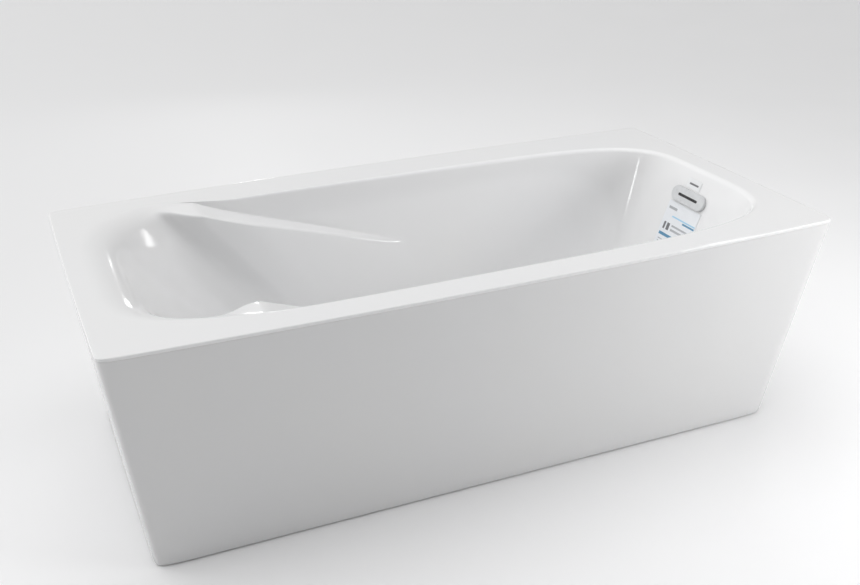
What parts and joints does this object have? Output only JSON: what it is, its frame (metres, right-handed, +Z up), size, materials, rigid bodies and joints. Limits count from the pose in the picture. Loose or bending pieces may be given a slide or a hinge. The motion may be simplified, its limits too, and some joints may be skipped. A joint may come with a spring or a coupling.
{
  "type": "freestanding bathtub",
  "caption": "Freestanding rectangular acrylic bathtub with tapered apron panels, sloped backrest, armrest ledges, pop-up waste and slotted overflow.",
  "frame": {"origin": "on the ground under the middle of the tub", "axes": "+X to the foot (drain) end, -Y to the front, +Z up"},
  "size_m": [1.8, 0.9, 0.58],
  "materials": {
    "gloss_acrylic": "white sanitary acrylic, high gloss",
    "panel_acrylic": "white acrylic panel, soft gloss",
    "birch_board": "sealed board",
    "pine_batten": "sawn softwood",
    "galvanised_tube": "zinc-coated steel tube",
    "zinc_hardware": "bright zinc plate",
    "black_rubber": "moulded rubber",
    "foot_plastic": "black nylon",
    "chrome_trim": "polished chrome",
    "overflow_trim": "pale grey satin trim",
    "grey_hose": "corrugated plastic hose",
    "white_fittings": "moulded polypropylene",
    "care_label_film": "printed film with plain bars, no text",
    "small_label_film": "printed film with plain bars, no text"
  },
  "bodies": {
    "root": {"bath_shell": "gloss_acrylic", "front_panel": "panel_acrylic", "back_panel": "panel_acrylic", "head_panel": "panel_acrylic", "foot_panel": "panel_acrylic", "base_board": "birch_board", "rim_batten_front": "pine_batten", "rim_batten_back": "pine_batten", "rim_batten_head": "pine_batten", "rim_batten_foot": "pine_batten", "long_rail_front": "galvanised_tube", "long_rail_back": "galvanised_tube", "cross_rail_head": "galvanised_tube", "cross_rail_mid": "galvanised_tube", "cross_rail_foot": "galvanised_tube", "corner_post_1": "galvanised_tube", "corner_post_2": "galvanised_tube", "corner_post_3": "galvanised_tube", "corner_post_4": "galvanised_tube", "post_pads": "black_rubber", "rail_bolts": "zinc_hardware", "rail_nuts": "zinc_hardware", "panel_brackets": "zinc_hardware", "bracket_screws": "zinc_hardware", "foot_lock_nuts": "zinc_hardware", "drain_flange": "chrome_trim", "drain_gasket_upper": "black_rubber", "drain_gasket_lower": "black_rubber", "waste_body": "white_fittings", "trap_nut": "white_fittings", "trap_cup": "white_fittings", "trap_outlet": "white_fittings", "overflow_faceplate": "overflow_trim", "overflow_inlet": "white_fittings", "overflow_gasket": "black_rubber", "overflow_elbow": "white_fittings", "overflow_hose": "grey_hose", "hose_clamps": "zinc_hardware", "care_label": "care_label_film", "small_label": "small_label_film"},
    "pop_up_plug": {"drain_plug": "chrome_trim"},
    "foot_1": {"foot_pad_1": "foot_plastic", "foot_stud_1": "zinc_hardware"},
    "foot_2": {"foot_pad_2": "foot_plastic", "foot_stud_2": "zinc_hardware"},
    "foot_3": {"foot_pad_3": "foot_plastic", "foot_stud_3": "zinc_hardware"},
    "foot_4": {"foot_pad_4": "foot_plastic", "foot_stud_4": "zinc_hardware"},
    "foot_5": {"foot_pad_5": "foot_plastic", "foot_stud_5": "zinc_hardware"},
    "foot_6": {"foot_pad_6": "foot_plastic", "foot_stud_6": "zinc_hardware"}
  },
  "joints": [
    {"name": "plug_lift", "type": "slide", "parent": "root", "child": "pop_up_plug", "axis": [0, 0, 1], "range_m": [0, 0.009]},
    {"name": "foot_1_level", "type": "slide", "parent": "root", "child": "foot_1", "axis": [0, 0, 1], "range_m": [-0.012, 0.012]},
    {"name": "foot_2_level", "type": "slide", "parent": "root", "child": "foot_2", "axis": [0, 0, 1], "range_m": [-0.012, 0.012]},
    {"name": "foot_3_level", "type": "slide", "parent": "root", "child": "foot_3", "axis": [0, 0, 1], "range_m": [-0.012, 0.012]},
    {"name": "foot_4_level", "type": "slide", "parent": "root", "child": "foot_4", "axis": [0, 0, 1], "range_m": [-0.012, 0.012]},
    {"name": "foot_5_level", "type": "slide", "parent": "root", "child": "foot_5", "axis": [0, 0, 1], "range_m": [-0.012, 0.012]},
    {"name": "foot_6_level", "type": "slide", "parent": "root", "child": "foot_6", "axis": [0, 0, 1], "range_m": [-0.012, 0.012]}
  ]
}
